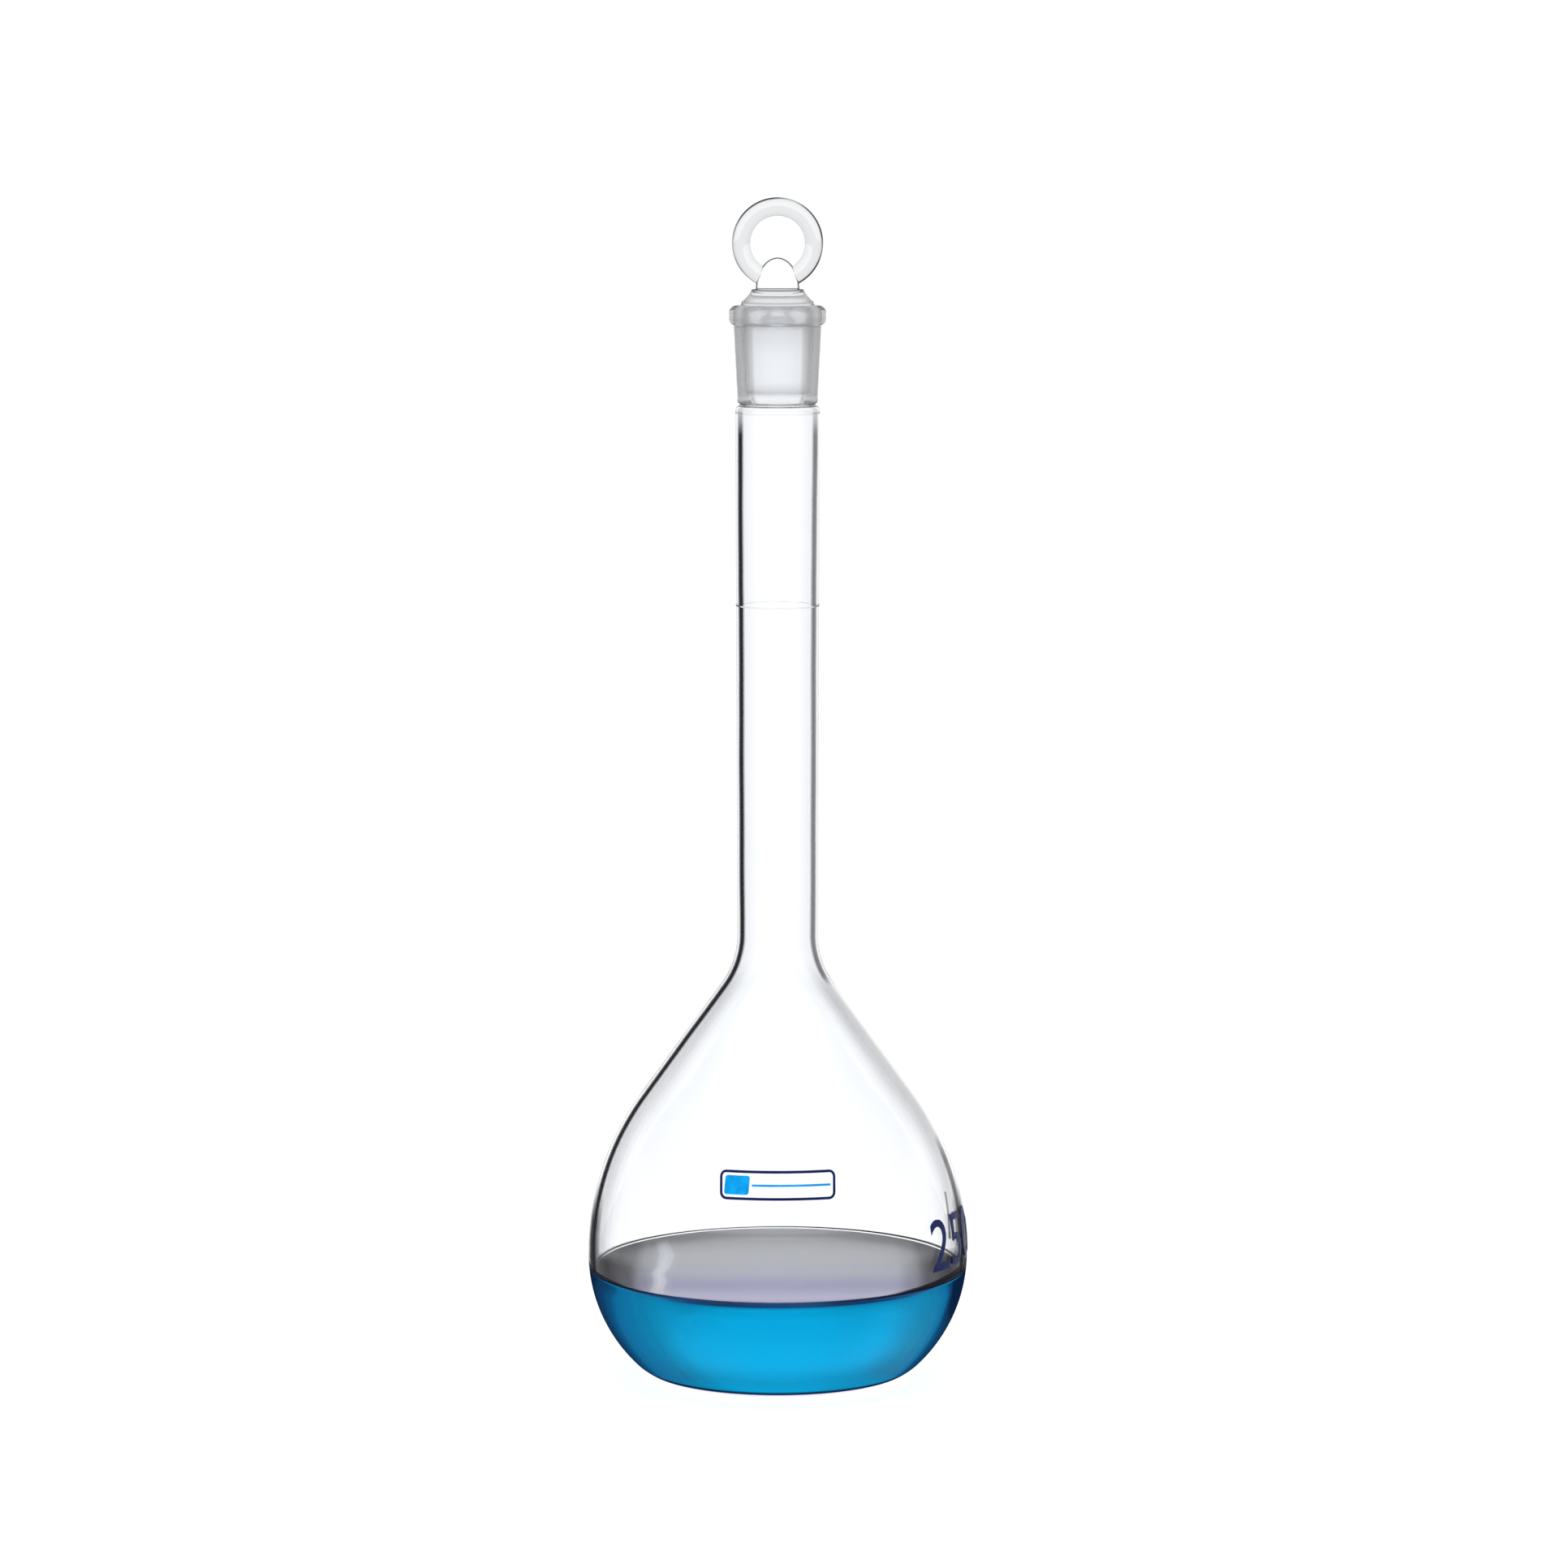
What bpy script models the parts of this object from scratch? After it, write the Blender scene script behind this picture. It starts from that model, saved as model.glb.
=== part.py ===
"""A 250 ml volumetric flask with a ring-handled ground glass stopper, standing on its foot.

The frame is metres with +Z up. The origin is the middle of the foot, on the bench, and the flask's
axis is +Z. The front, with the marking field, faces -Y. The stopper lifts out along +Z.
"""

from math import acos, asin, atan2, cos, pi, radians, sin, sqrt

import bmesh
import bpy

# Driving dimensions, in metres ------------------------------------------------------------------
CAPACITY = 250e-6  # cubic metres held up to the graduation line
SOLUTION_LEVEL = 0.0227  # height of the liquid's surface

SIDES = 36  # flats round every turned piece, so that neighbours keep parallel faces
SEAL_GAP = 0.00005  # between glass pieces that are melted together, and under fired enamel
LIQUID_GAP = 0.0001  # between the solution and the glass round it

WALL = 0.0012  # wall of the bulb and the neck
BULB_RADIUS = 0.0390
EQUATOR_HEIGHT = 0.0254
SHOULDER_ARC = 0.0556  # radius of the arc from the equator up to the straight shoulder
SHOULDER_SLOPE = radians(35.8)  # of the straight shoulder, from the vertical
FLARE_ARC = 0.0170  # radius of the flare from the straight shoulder into the neck
BELLY_ARC = 0.0308  # radius of the arc from the equator down
FOOT_ARC = 0.0118  # radius of the turn from the belly onto the foot
PUNT_RADIUS = 0.0145  # of the hollow pressed up into the foot
PUNT_DEPTH = 0.0011

NECK_RADIUS = 0.0083  # at the flare
NECK_TOP_RADIUS = 0.0086
NECK_TOP = 0.1998  # where the neck is sealed to the socket
NECK_END_ROUND = 0.0011

RIM = 0.2200  # height of the flask without its stopper
LIP_RADIUS = 0.0075  # of the mouth, where the ground bore opens out
LIP_DEPTH = 0.0006
GROUND_RADIUS = 0.00725  # large end of a 14.5 mm ground joint
GROUND_TAPER = 0.05  # radius per length, so 1 in 10 on the diameter
GROUND_BOTTOM = 0.2016
GROUND_GAP = 0.00005  # between the ground faces of socket and stopper
BEAD_RADIUS = 0.0099
BEAD_HEIGHT = 0.0040
BEAD_TOP_ROUND = 0.0017
BEAD_BOTTOM_ROUND = 0.0011
SOCKET_RADIUS = 0.0089  # outside, under the bead
SOCKET_END_RADIUS = 0.00815
SOCKET_BORE_END = 0.0069  # where the bore widens to meet the neck

PLUG_BOTTOM = 0.2022
PLUG_EDGE = 0.0004
HEAD_RADIUS = 0.0074  # of the stopper's head, just above the rim
HEAD_BOTTOM = 0.2204
STEM_RADIUS = 0.0053
STEM_BOTTOM = 0.2228
STEM_TOP = 0.2231
BELL_RADIUS = 0.0044
BELL_BOTTOM = 0.2231
BELL_TOP = 0.2295
CAVITY_RADIUS = 0.0036  # of the stopper's hollow, open at its lower end
CAVITY_TOP = 0.2185

RING_HEIGHT = 0.2324  # of the ring handle's centre
RING_OUTER = 0.0092
RING_ROD = 0.00185  # radius of the rod it is bent from

GRADUATION_WIDTH = 0.0004
ENAMEL = 0.00012  # thickness of fired enamel
CAPACITY_TEXT = "250 ml"
TEXT_HEIGHT = 0.0110
TEXT_BOTTOM = 0.0258
TEXT_START = radians(53.5)  # azimuth where the text starts, from the front towards +X
TEXT_GAP = 0.0015  # between characters
TEXT_SPACE = 0.0012
SLICE = 0.0022  # width of the strips that let flat enamel follow the bulb
FIELD_WIDTH = 0.0234
FIELD_HEIGHT = 0.0056
FIELD_CORNER = 0.0013
FIELD_LINE = 0.0005  # width of the field's frame
FIELD_CENTRE = 0.0460
TAB_WIDTH = 0.0050  # of the solid tab at the field's left end
WRITING_LINE = 0.0004  # width of the line to write on
MARK_GAP = 0.0005  # between the frame, the tab and the line


# Outlines, as (radius, height) points ------------------------------------------------------------
def arc(centre, radius, start, end, steps):
    """Points on a circle from one angle to another, both included. Angle 0 points away from the axis."""
    spread = [start + (end - start) * i / steps for i in range(steps + 1)]
    return [(centre[0] + radius * cos(a), centre[1] + radius * sin(a)) for a in spread]


def flare_centre():
    """The centre of the flare's arc, which meets the neck upright and the straight shoulder in line."""
    shoulder_r = BULB_RADIUS - SHOULDER_ARC + SHOULDER_ARC * cos(SHOULDER_SLOPE)
    shoulder_z = EQUATOR_HEIGHT + SHOULDER_ARC * sin(SHOULDER_SLOPE)
    flare_r = NECK_RADIUS + FLARE_ARC * (1 - cos(SHOULDER_SLOPE))
    straight = (shoulder_r - flare_r) / sin(SHOULDER_SLOPE)
    flare_z = shoulder_z + straight * cos(SHOULDER_SLOPE)
    return NECK_RADIUS + FLARE_ARC, flare_z + FLARE_ARC * sin(SHOULDER_SLOPE)


def foot_centre():
    """The centre of the foot's arc, which touches the belly's arc and the bench."""
    rise = EQUATOR_HEIGHT - FOOT_ARC
    return BULB_RADIUS - BELLY_ARC + sqrt((BELLY_ARC - FOOT_ARC) ** 2 - rise**2), FOOT_ARC


def foot_angle():
    """How far below the horizontal the belly's arc gives way to the foot's arc."""
    foot = foot_centre()
    return atan2(EQUATOR_HEIGHT - foot[1], foot[0] - (BULB_RADIUS - BELLY_ARC))


def flare_outline(inset, trim=0.0):
    """The flare, top to bottom, inset from the outer surface. Trim shortens it at the shoulder's end."""
    end = SHOULDER_SLOPE - trim / FLARE_ARC
    return arc(flare_centre(), FLARE_ARC + inset, pi, pi + end, 8)


def belly_outline(inset, start_height):
    """The belly from a height at or below the equator down to the foot, then the floor to the axis."""
    belly = (BULB_RADIUS - BELLY_ARC, EQUATOR_HEIGHT)
    start = -asin((EQUATOR_HEIGHT - start_height) / (BELLY_ARC - inset))
    side = arc(belly, BELLY_ARC - inset, start, -foot_angle(), 7)
    turn = arc(foot_centre(), FOOT_ARC - inset, -foot_angle(), -pi / 2, 5)
    return side + turn[1:] + punt_outline(inset)


def punt_outline(inset):
    """The hollow in the foot, as the top of a shallow dome, from its edge to the axis."""
    curve = (PUNT_RADIUS**2 + PUNT_DEPTH**2) / (2 * PUNT_DEPTH)
    centre = (0, inset + PUNT_DEPTH - curve)
    edge = acos(PUNT_RADIUS / curve)
    dome = arc(centre, curve, edge, pi / 2, 3)
    return dome[:-1] + [(0, inset + PUNT_DEPTH)]


def bulb_outline(inset):
    """The blown bulb, from its open top down to the axis."""
    centre = (BULB_RADIUS - SHOULDER_ARC, EQUATOR_HEIGHT)
    shoulder = arc(centre, SHOULDER_ARC - inset, SHOULDER_SLOPE, 0, 9)
    return flare_outline(inset)[-1:] + shoulder[:-1] + belly_outline(inset, EQUATOR_HEIGHT)


def neck_radius(height):
    """The neck's outer radius, which widens a little towards the socket."""
    low = flare_centre()[1]
    return NECK_RADIUS + (NECK_TOP_RADIUS - NECK_RADIUS) * (height - low) / (NECK_TOP - low)


def bulb_radius(height):
    """The bulb's outer radius at a height on its shoulder arc."""
    rise = height - EQUATOR_HEIGHT
    return BULB_RADIUS - SHOULDER_ARC + sqrt(SHOULDER_ARC**2 - rise**2)


def held_below(height):
    """The volume that the bulb and the neck hold below a height in the neck."""
    top = (neck_radius(height) - WALL, height)
    points = [top] + flare_outline(WALL) + bulb_outline(WALL)[1:]
    pairs = zip(points, points[1:])
    return sum(pi / 3 * (a[1] - b[1]) * (a[0] ** 2 + a[0] * b[0] + b[0] ** 2) for a, b in pairs)


def graduation_height():
    """Where the neck has to be filled to for the flask to hold its capacity."""
    low, high = flare_centre()[1], NECK_TOP
    for _ in range(40):
        middle = (low + high) / 2
        low, high = (low, middle) if held_below(middle) > CAPACITY else (middle, high)
    return low


# Making and placing objects ----------------------------------------------------------------------
def principled(name, colour, roughness, transmission=0.0):
    material = bpy.data.materials.new(name)
    material.use_nodes = True
    shader = material.node_tree.nodes["Principled BSDF"]
    shader.inputs["Base Color"].default_value = (*colour, 1)
    shader.inputs["Roughness"].default_value = roughness
    shader.inputs["Metallic"].default_value = 0.0
    shader.inputs["Transmission Weight"].default_value = transmission
    return material


def add_object(name, data, material, collection, parent):
    obj = bpy.data.objects.new(name, data)
    collection.objects.link(obj)
    if parent:
        obj.parent = parent
        obj.matrix_parent_inverse = parent.matrix_world.inverted()
    if material:
        data.materials.append(material)
    return obj


def turned(name, outline, material, collection, parent=None, loop=False):
    """A piece turned about +Z. The outline runs down its outer side; a loop is a tube's whole section."""
    mesh = bpy.data.meshes.new(name)
    count = len(outline)
    edges = [(i, (i + 1) % count) for i in range(count if loop else count - 1)]
    mesh.from_pydata([(r, 0, z) for r, z in outline], edges, [])
    obj = add_object(name, mesh, material, collection, parent)
    screw = obj.modifiers.new("turn", "SCREW")
    screw.steps = screw.render_steps = SIDES
    screw.use_merge_vertices = True
    screw.merge_threshold = 1e-6
    screw.use_smooth_shade = True
    return obj


def sliced(mesh, step):
    """Cuts a flat mesh with a grid of planes this far apart, so that it can follow a curved wall."""
    shape = bmesh.new()
    shape.from_mesh(mesh)
    bmesh.ops.remove_doubles(shape, verts=shape.verts, dist=1e-7)
    for axis in (0, 1):
        places = [v.co[axis] for v in shape.verts]
        for k in range(int(min(places) / step) - 1, int(max(places) / step) + 2):
            point = [0, 0, 0]
            normal = [0, 0, 0]
            point[axis], normal[axis] = k * step, 1
            geometry = shape.verts[:] + shape.edges[:] + shape.faces[:]
            bmesh.ops.bisect_plane(shape, geom=geometry, plane_co=point, plane_no=normal, dist=1e-8)
    bmesh.ops.triangulate(shape, faces=shape.faces)
    shape.to_mesh(mesh)
    shape.free()


def wrapped_on_bulb(name, flat, azimuth, bottom, material, collection, parent):
    """Fired enamel: a flat extruded curve, read as a mesh and laid round the bulb at an azimuth."""
    bpy.context.view_layer.update()
    mesh = bpy.data.meshes.new_from_object(flat.evaluated_get(bpy.context.evaluated_depsgraph_get()))
    bpy.data.objects.remove(flat)
    sliced(mesh, SLICE)
    lowest = min(v.co.y for v in mesh.vertices)
    middle = sum(extreme(v.co.x for v in mesh.vertices) for extreme in (min, max)) / 2
    underside = min(v.co.z for v in mesh.vertices)
    for vertex in mesh.vertices:
        height = bottom + vertex.co.y - lowest
        radius = bulb_radius(height)
        angle = azimuth + (vertex.co.x - middle) / radius
        radius += SEAL_GAP + vertex.co.z - underside
        vertex.co = (radius * sin(angle), -radius * cos(angle), height)
    mesh.name = name
    mesh.materials.clear()
    return add_object(name, mesh, material, collection, parent)


# The pieces --------------------------------------------------------------------------------------
def make_bulb(glass, collection, parent):
    outline = bulb_outline(WALL)[::-1] + bulb_outline(0)
    return turned("bulb", outline, glass, collection, parent)


def neck_outline():
    """The neck's section as a loop: up the bore, over the rounded top end, and down the outside."""
    end = arc(
        (neck_radius(NECK_TOP) - NECK_END_ROUND, NECK_TOP - NECK_END_ROUND), NECK_END_ROUND, pi / 2, 0, 4
    )
    bore = [(neck_radius(NECK_TOP) - WALL, NECK_TOP)]
    inner = bore + flare_outline(WALL, SEAL_GAP)
    return inner[::-1] + end + flare_outline(0, SEAL_GAP)


def make_neck(glass, collection, parent):
    return turned("neck_tube", neck_outline(), glass, collection, parent, loop=True)


def socket_bore(height):
    """The ground bore's radius at a height."""
    return GROUND_RADIUS - (RIM - LIP_DEPTH - height) * GROUND_TAPER


def socket_outline():
    """The socket's section as a loop: up the ground bore, over the bead, and down the outside."""
    bottom = NECK_TOP + SEAL_GAP
    bead_bottom = RIM - BEAD_HEIGHT
    bore = [
        (SOCKET_BORE_END, bottom),
        (socket_bore(GROUND_BOTTOM), GROUND_BOTTOM),
        (GROUND_RADIUS, RIM - LIP_DEPTH),
        (LIP_RADIUS, RIM),
    ]
    top = (BEAD_RADIUS - BEAD_TOP_ROUND, RIM - BEAD_TOP_ROUND)
    low = (BEAD_RADIUS - BEAD_BOTTOM_ROUND, bead_bottom + BEAD_BOTTOM_ROUND)
    bead = arc(top, BEAD_TOP_ROUND, pi / 2, 0, 5) + arc(low, BEAD_BOTTOM_ROUND, 0, -pi / 3, 4)
    body = [
        (SOCKET_RADIUS, bead_bottom - 0.0002),
        (SOCKET_END_RADIUS, bottom + 0.0005),
        (SOCKET_END_RADIUS - 0.0004, bottom),
    ]
    return bore + bead + body


def make_socket(glass, collection, parent):
    return turned("ground_socket", socket_outline(), glass, collection, parent, loop=True)


def bell_outline(grow=0.0):
    """The stopper's top from the axis down: the bell that holds the ring, and the stem under it."""
    height = BELL_TOP - BELL_BOTTOM
    steps = [pi / 2 * i / 10 for i in range(11)]
    bell = [((BELL_RADIUS + grow) * sin(a), BELL_BOTTOM + (height + grow) * cos(a)) for a in steps]
    bell = [point for point in bell if point[1] > STEM_TOP + grow + 1e-6]
    edge = bell[-1][0]
    return bell + [(edge, STEM_TOP + grow), (STEM_RADIUS + grow, STEM_TOP + grow)]


def plug_outline():
    """The stopper from its top down the outside, and up the hollow, whose lower end is open."""
    top = socket_bore(RIM - LIP_DEPTH) - GROUND_GAP
    foot = socket_bore(PLUG_BOTTOM) - GROUND_GAP
    outside = [
        (STEM_RADIUS, STEM_BOTTOM),
        (HEAD_RADIUS, HEAD_BOTTOM),
        (top, RIM - LIP_DEPTH),
        (foot + PLUG_EDGE * GROUND_TAPER, PLUG_BOTTOM + PLUG_EDGE),
        (foot - PLUG_EDGE, PLUG_BOTTOM),
        (CAVITY_RADIUS + PLUG_EDGE, PLUG_BOTTOM),
        (CAVITY_RADIUS, PLUG_BOTTOM + PLUG_EDGE),
    ]
    crown = arc((0, CAVITY_TOP - CAVITY_RADIUS), CAVITY_RADIUS, 0, pi / 2, 6)
    return bell_outline() + outside + crown[:-1] + [(0, CAVITY_TOP)]


def make_plug(glass, collection, parent):
    return turned("stopper_plug", plug_outline(), glass, collection, parent)


def make_ring(glass, collection, cutters, parent):
    """A ring bent from glass rod. Its foot is cut to sit on the bell that it is melted to."""
    bpy.ops.mesh.primitive_torus_add(
        major_segments=52,
        minor_segments=12,
        major_radius=RING_OUTER - RING_ROD,
        minor_radius=RING_ROD,
        location=(0, 0, RING_HEIGHT),
        rotation=(pi / 2, 0, 0),
    )
    ring = bpy.context.object
    ring.name = ring.data.name = "ring_handle"
    for holder in ring.users_collection:
        holder.objects.unlink(ring)
    collection.objects.link(ring)
    bpy.context.view_layer.update()
    ring.parent = parent
    ring.matrix_parent_inverse = parent.matrix_world.inverted()
    ring.data.materials.append(glass)
    ring.data.shade_smooth()
    around = bell_outline(SEAL_GAP) + [(STEM_RADIUS + SEAL_GAP, STEM_BOTTOM), (0, STEM_BOTTOM)]
    cutter = turned("bell_cutter", around, None, cutters)
    cutter.hide_render = True
    cutter.display_type = "WIRE"
    seat = ring.modifiers.new("seat", "BOOLEAN")
    seat.operation = "DIFFERENCE"
    seat.object = cutter
    return ring


def make_solution(liquid, collection, parent):
    """The blue solution: it fills the bulb's foot up to its level, just clear of the glass."""
    outline = [(0, SOLUTION_LEVEL)] + belly_outline(WALL + LIQUID_GAP, SOLUTION_LEVEL)
    return turned("solution", outline, liquid, collection, parent)


def make_graduation(enamel, collection, parent):
    """The line fired round the neck at the height that holds the flask's capacity."""
    middle = graduation_height()
    low, high = middle - GRADUATION_WIDTH / 2, middle + GRADUATION_WIDTH / 2
    inner = neck_radius(middle) + SEAL_GAP
    section = [(inner, low), (inner, high), (inner + ENAMEL, high), (inner + ENAMEL, low)]
    return turned("graduation_line", section, enamel, collection, parent, loop=True)


def flat_text(character, collection):
    curve = bpy.data.curves.new("character", "FONT")
    curve.body = character
    curve.size = TEXT_HEIGHT / 0.73  # the built-in font's figures are 0.73 of its size
    curve.extrude = ENAMEL / 2
    curve.resolution_u = 4
    obj = bpy.data.objects.new("character", curve)
    collection.objects.link(obj)
    return obj


def make_capacity_text(enamel, collection, parent):
    """The capacity, one node for each character, laid round the bulb's side from left to right."""
    along = 0.0
    for character in CAPACITY_TEXT:
        if character == " ":
            along += TEXT_SPACE
            continue
        flat = flat_text(character, collection)
        bpy.context.view_layer.update()
        width = flat.dimensions.x
        azimuth = TEXT_START + (along + width / 2) / bulb_radius(TEXT_BOTTOM)
        name = f"capacity_mark_{character}"
        wrapped_on_bulb(name, flat, azimuth, TEXT_BOTTOM, enamel, collection, parent)
        along += width + TEXT_GAP


def rounded_outline(width, height, corner, steps=4):
    """A rectangle with round corners about (0, 0), counterclockwise."""
    across, up = width / 2 - corner, height / 2 - corner
    middles = ((across, up), (-across, up), (-across, -up), (across, -up))
    quarters = [arc(middle, corner, k * pi / 2, (k + 1) * pi / 2, steps) for k, middle in enumerate(middles)]
    return [point for quarter in quarters for point in quarter]


def flat_shape(outlines, collection):
    """A flat curve with the thickness of fired enamel. A second outline is a hole in the first."""
    curve = bpy.data.curves.new("flat_shape", "CURVE")
    curve.dimensions = "2D"
    curve.fill_mode = "BOTH"
    curve.extrude = ENAMEL / 2
    for points in outlines:
        spline = curve.splines.new("POLY")
        spline.points.add(len(points) - 1)
        for point, (x, y) in zip(spline.points, points):
            point.co = (x, y, 0, 1)
        spline.use_cyclic_u = True
    flat = bpy.data.objects.new("flat_shape", curve)
    collection.objects.link(flat)
    return flat


def make_marking_field(blue, sky, collection, parent):
    """A framed field for the user's own note, with a solid tab at its left end and a line to write on."""
    inner = (FIELD_WIDTH - 2 * FIELD_LINE, FIELD_HEIGHT - 2 * FIELD_LINE)
    tab = (TAB_WIDTH, inner[1] - 2 * MARK_GAP)
    line = (inner[0] - TAB_WIDTH - 3 * MARK_GAP, WRITING_LINE)
    frame = [
        rounded_outline(FIELD_WIDTH, FIELD_HEIGHT, FIELD_CORNER),
        rounded_outline(*inner, FIELD_CORNER - FIELD_LINE),
    ]
    tab_left = -inner[0] / 2 + MARK_GAP
    line_left = tab_left + TAB_WIDTH + MARK_GAP
    shapes = [
        ("marking_frame", frame, 0, FIELD_HEIGHT, blue),
        ("marking_tab", [rounded_outline(*tab, MARK_GAP)], tab_left + tab[0] / 2, tab[1], sky),
        ("marking_line", [rounded_outline(*line, line[1] / 3, 2)], line_left + line[0] / 2, line[1], sky),
    ]
    for name, outlines, offset, height, enamel in shapes:
        flat = flat_shape(outlines, collection)
        bottom = FIELD_CENTRE - height / 2
        azimuth = offset / bulb_radius(FIELD_CENTRE)
        wrapped_on_bulb(name, flat, azimuth, bottom, enamel, collection, parent)


def new_collection(name):
    collection = bpy.data.collections.new(name)
    bpy.context.scene.collection.children.link(collection)
    return collection


def main():
    for obj in list(bpy.data.objects):
        bpy.data.objects.remove(obj)
    parts, cutters = new_collection("volumetric_flask"), new_collection("cutters")
    flask = add_object("flask", None, None, parts, None)
    stopper = add_object("stopper", None, None, parts, None)
    stopper.location.z = RIM
    bpy.context.view_layer.update()

    clear = principled("clear_glass", (0.93, 0.95, 0.95), 0.02, 1.0)
    ground = principled("ground_glass", (0.86, 0.87, 0.88), 0.35, 1.0)
    white = principled("white_enamel", (0.92, 0.92, 0.90), 0.4)
    blue = principled("blue_enamel", (0.03, 0.05, 0.22), 0.35)
    sky = principled("sky_blue_enamel", (0.02, 0.35, 0.80), 0.35)
    liquid = principled("blue_solution", (0.01, 0.36, 0.78), 0.02, 1.0)

    make_bulb(clear, parts, flask)
    make_neck(clear, parts, flask)
    make_socket(ground, parts, flask)
    make_plug(ground, parts, stopper)
    make_ring(clear, parts, cutters, stopper)
    make_solution(liquid, parts, flask)
    make_graduation(white, parts, flask)
    make_capacity_text(blue, parts, flask)
    make_marking_field(blue, sky, parts, flask)


main()
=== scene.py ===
"""The looks of a 250 ml volumetric flask, with its ring-handled stopper and a blue solution."""

from math import acos, asin, atan2, cos, exp, pi, radians, sin, sqrt

import bmesh
import bpy
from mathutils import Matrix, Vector


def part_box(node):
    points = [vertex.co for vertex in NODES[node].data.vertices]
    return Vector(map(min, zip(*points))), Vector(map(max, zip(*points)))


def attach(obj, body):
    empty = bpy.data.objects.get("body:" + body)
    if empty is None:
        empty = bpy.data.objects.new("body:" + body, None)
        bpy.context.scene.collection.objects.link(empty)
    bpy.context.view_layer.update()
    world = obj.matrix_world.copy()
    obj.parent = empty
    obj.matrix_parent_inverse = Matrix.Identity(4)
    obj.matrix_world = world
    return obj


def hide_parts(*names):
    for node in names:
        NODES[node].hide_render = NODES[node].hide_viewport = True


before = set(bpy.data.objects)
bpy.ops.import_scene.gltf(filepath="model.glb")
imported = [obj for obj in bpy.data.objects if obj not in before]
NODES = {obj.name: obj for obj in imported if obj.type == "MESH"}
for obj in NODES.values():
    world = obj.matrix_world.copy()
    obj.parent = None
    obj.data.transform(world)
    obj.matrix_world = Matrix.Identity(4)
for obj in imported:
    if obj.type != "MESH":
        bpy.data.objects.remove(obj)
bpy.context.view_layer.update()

# Sizes, in metres. Those that the frame gives are read from it. -----------------------------------
_, BULB_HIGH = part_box("bulb")
_, NECK_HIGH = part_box("neck_tube")
SOCKET_LOW, SOCKET_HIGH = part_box("ground_socket")
PLUG_LOW, PLUG_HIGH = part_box("stopper_plug")
RING_LOW, RING_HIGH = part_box("ring_handle")
LIQUID_LOW, LIQUID_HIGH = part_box("solution")

AROUND = 192  # steps round the flask and the liquid
STOPPER_AROUND = 128
ON_AXIS = 1e-6  # a radius that counts as none
LEAST_SLOPE = 0.05  # below which a wall counts as no flatter, for its outline
LEAST_UPRIGHT = 0.25  # the same for the liquid's shading
GROUND_ROWS = 16  # steps down the ground bore

WALL = 0.0012
BULB_RADIUS = BULB_HIGH.y
EQUATOR_HEIGHT = 0.0254
SHOULDER_ARC = 0.0556  # radius of the arc from the equator up to the straight shoulder
SHOULDER_SLOPE = radians(35.8)  # of the straight shoulder, from the vertical
FLARE_ARC = 0.0170  # radius of the flare from the straight shoulder into the neck
BELLY_ARC = 0.0308  # radius of the arc from the equator down
FOOT_ARC = 0.0118  # radius of the turn from the belly onto the foot
PUNT_RADIUS = 0.0145  # of the hollow pressed up into the foot
PUNT_DEPTH = 0.0011
NECK_RADIUS = 0.0083  # at the flare
NECK_TOP_RADIUS = 0.0086
NECK_TOP = NECK_HIGH.z
NECK_END_ROUND = 0.0011
GROOVE_RADIUS = 0.0077  # of the neck's joint to the socket
CORNER = 0.0003  # how far the smooth shading of a corner reaches along a straight wall

RIM = SOCKET_HIGH.z
LIP_RADIUS = 0.0075  # of the mouth, where the ground bore opens out
LIP_DEPTH = 0.0006
GROUND_RADIUS = 0.00725  # large end of the ground joint
GROUND_TAPER = 0.05  # radius per length
GROUND_BOTTOM = 0.2016
BEAD_RADIUS = SOCKET_HIGH.y
BEAD_HEIGHT = 0.0040
BEAD_TOP_ROUND = 0.0017
BEAD_BOTTOM_ROUND = 0.0011
BEAD_FILLET = 0.0005  # between the bead and the socket
BEAD_FILLET_DROP = 0.0004  # of the fillet's centre below the bead
SOCKET_RADIUS = 0.0089  # outside, under the bead
SOCKET_END_RADIUS = 0.00815
SOCKET_END_HEIGHT = 0.0006  # of its last edge above the groove
SOCKET_BORE_END = 0.0067  # radius of the bore at the neck's joint
JOINT_ABOVE = 0.0003  # how far inside the joint goes up from the neck's top
JOINT_BELOW = 0.0016  # and how far down
GROOVE_ROUND = 0.00035
GROOVE_LIP = 0.0002  # how far above the neck's top the socket's grey wall ends

PLUG_BOTTOM = PLUG_LOW.z
PLUG_EDGE = 0.0006
HEAD_RADIUS = 0.0074  # of the stopper's head, just above the rim
HEAD_BOTTOM = 0.2204
HEAD_EDGE = 0.0004
HEAD_CORNER = 0.0003  # how far its slope ends short of the corner
STEM_RADIUS = 0.0053
STEM_BOTTOM = 0.2228
STEM_TOP = 0.2231
STEM_EDGE = 0.00015
BELL_RADIUS = 0.0044
BELL_BOTTOM = 0.2231
BELL_TOP = PLUG_HIGH.z
BELL_FILLET = 0.0002  # between the bell and the stem
CAVITY_RADIUS = 0.0036  # of the stopper's hollow, open at its lower end
CAVITY_TOP = 0.2185
RING_OUTER = RING_HIGH.x
RING_ROD = (RING_HIGH.y - RING_LOW.y) / 2  # radius of the rod that the ring is bent from
RING_MIDDLE = RING_OUTER - RING_ROD
RING_HEIGHT = RING_HIGH.z - RING_OUTER  # of the ring's centre
ON_RING = 0.0001  # how near the rod's surface a point has to be to count as the ring's
GROUND_GAP = 0.00005  # between the ground faces of socket and stopper
GRADUATION_HALF = 0.00014  # half the width of the thread of enamel

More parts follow.
